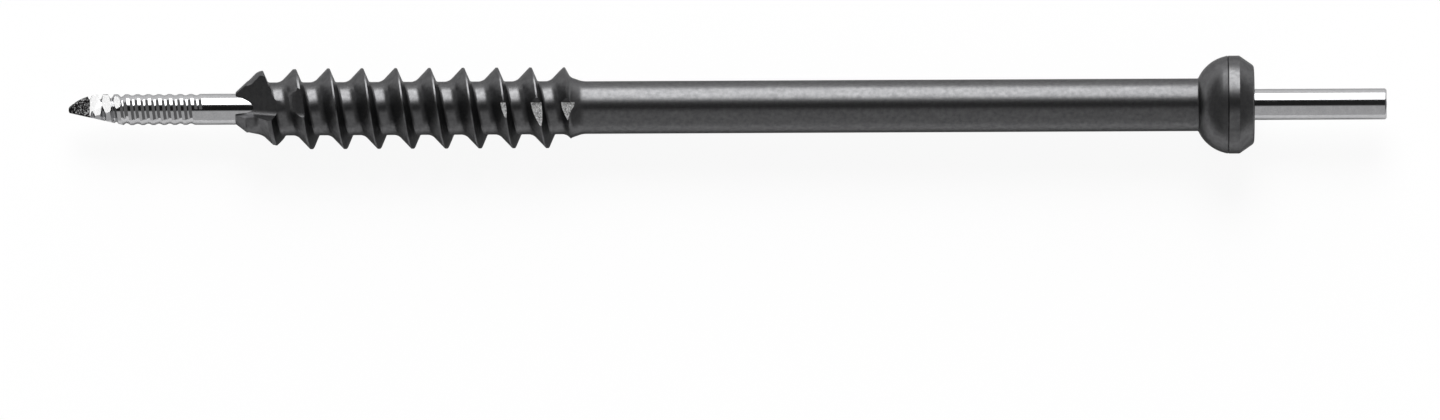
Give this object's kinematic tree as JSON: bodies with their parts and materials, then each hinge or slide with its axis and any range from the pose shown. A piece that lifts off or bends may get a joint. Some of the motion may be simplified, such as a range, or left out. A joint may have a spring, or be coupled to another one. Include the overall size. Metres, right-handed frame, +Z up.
{
  "type": "cannulated bone screw",
  "caption": "Partly threaded cannulated bone screw with a spherical hex-socket head and cutting flutes, lying on its threaded guide pin.",
  "frame": {"origin": "on the floor, under the middle of the box round the screw and its pin", "axes": "+Z up; the common axis of screw and pin runs along X, with the points towards -X and the head towards +X, and rises towards the head by about half a degree because the screw rests on its thread and on the wider head"},
  "size_m": [0.119, 0.0088, 0.0088],
  "materials": {
    "anodised_titanium": "satin, blasted and dark grey anodised",
    "polished_steel": "ground and polished"
  },
  "bodies": {
    "screw": {"cannulated_screw": "anodised_titanium"},
    "pin": {"guide_pin": "polished_steel"}
  },
  "joints": [
    {"name": "pin_slide", "type": "slide", "parent": "screw", "child": "pin", "axis": [1, 0, 0.0094], "range_m": [-0.1, 0.1]}
  ]
}
